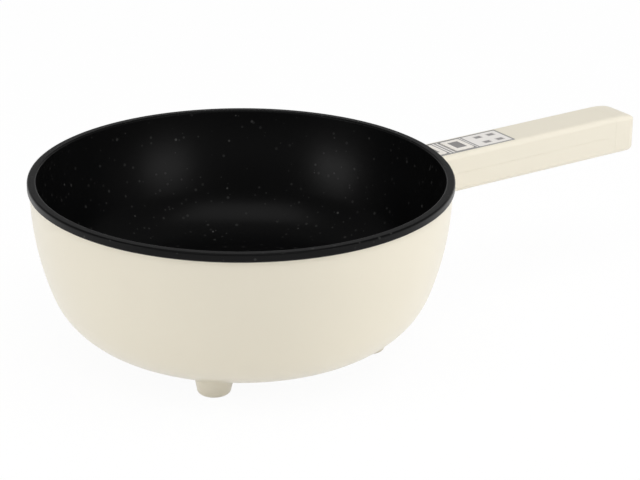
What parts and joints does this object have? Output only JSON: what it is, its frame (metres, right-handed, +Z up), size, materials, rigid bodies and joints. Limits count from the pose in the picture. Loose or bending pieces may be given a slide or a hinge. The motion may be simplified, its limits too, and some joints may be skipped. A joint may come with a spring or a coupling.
{
  "type": "electric cooking pot",
  "caption": "Round electric cooking pot: a dark non-stick pan in a rounded cream shell on moulded feet, with a long bar handle that carries push keys and a mains inlet.",
  "frame": {"origin": "on the pot's axis, at the level of the table that the foot pads stand on", "axes": "+Z up along the pot's axis, +X along the handle, +Y to its left"},
  "size_m": [0.438, 0.26, 0.1095],
  "materials": {
    "pan_coating": "satin",
    "black_silicone": "matte",
    "shell_plastic": "satin",
    "pale_silicone": "matte",
    "base_plastic": "matte",
    "screw_steel": "satin",
    "shield_aluminium": "satin",
    "element_steel": "matte",
    "bush_ceramic": "matte",
    "bracket_steel": "satin",
    "black_plastic": "satin",
    "handle_plastic": "satin",
    "pin_brass": "satin",
    "lead_brown": "satin",
    "lead_blue": "satin",
    "lead_green": "satin",
    "lead_grey": "satin",
    "circuit_board": "satin",
    "relay_plastic": "satin",
    "capacitor_plastic": "satin",
    "terminal_plastic": "satin",
    "led_plastic": "gloss",
    "window_plastic": "gloss",
    "panel_plastic": "satin",
    "key_plastic": "satin",
    "inlay_plastic": "satin"
  },
  "bodies": {
    "pot": {"inner_pan": "pan_coating", "rim_seal": "black_silicone", "outer_shell": "shell_plastic", "foot_pads": "pale_silicone", "base_cover": "base_plastic", "base_screws": "screw_steel", "heat_shield": "shield_aluminium", "heating_element": "element_steel", "terminal_pins": "screw_steel", "terminal_bushes": "bush_ceramic", "heater_clamp": "shield_aluminium", "clamp_studs": "screw_steel", "clamp_nuts": "screw_steel", "sensor_probe": "shield_aluminium", "sensor_spring": "screw_steel", "sensor_holder": "bracket_steel", "thermostat": "black_plastic", "thermal_fuse": "bush_ceramic", "fuse_clip": "bracket_steel", "earth_tab": "bracket_steel", "earth_screw": "screw_steel", "handle_lower": "handle_plastic", "handle_upper": "handle_plastic", "handle_gasket": "pale_silicone", "handle_screws": "screw_steel", "handle_bracket": "bracket_steel", "bracket_screws": "screw_steel", "tongue_screws": "screw_steel", "inlet_cap": "handle_plastic", "inlet_pins": "pin_brass", "inlet_leads": "lead_brown", "power_board": "circuit_board", "power_board_screws": "screw_steel", "relay": "relay_plastic", "filter_capacitor": "capacitor_plastic", "terminal_block": "terminal_plastic", "board_ribbon": "lead_grey", "control_board": "circuit_board", "control_board_screws": "screw_steel", "tact_switches": "black_plastic", "indicator_leds": "led_plastic", "light_guide": "window_plastic", "control_panel": "panel_plastic", "live_lead": "lead_brown", "neutral_lead": "lead_blue", "earth_lead": "lead_green", "sensor_lead": "lead_grey"},
    "power_key": {"power_key": "key_plastic", "power_key_inlay": "inlay_plastic", "power_key_plunger": "led_plastic"},
    "mode_key": {"mode_key": "key_plastic", "mode_key_inlay": "inlay_plastic", "mode_key_plunger": "led_plastic"}
  },
  "joints": [
    {"name": "power_key_press", "type": "slide", "parent": "pot", "child": "power_key", "axis": [0, 0, -1], "range_m": [0, 0.0008], "stiffness_N_per_m": 600},
    {"name": "mode_key_press", "type": "slide", "parent": "pot", "child": "mode_key", "axis": [0, 0, -1], "range_m": [0, 0.0008], "stiffness_N_per_m": 600}
  ]
}
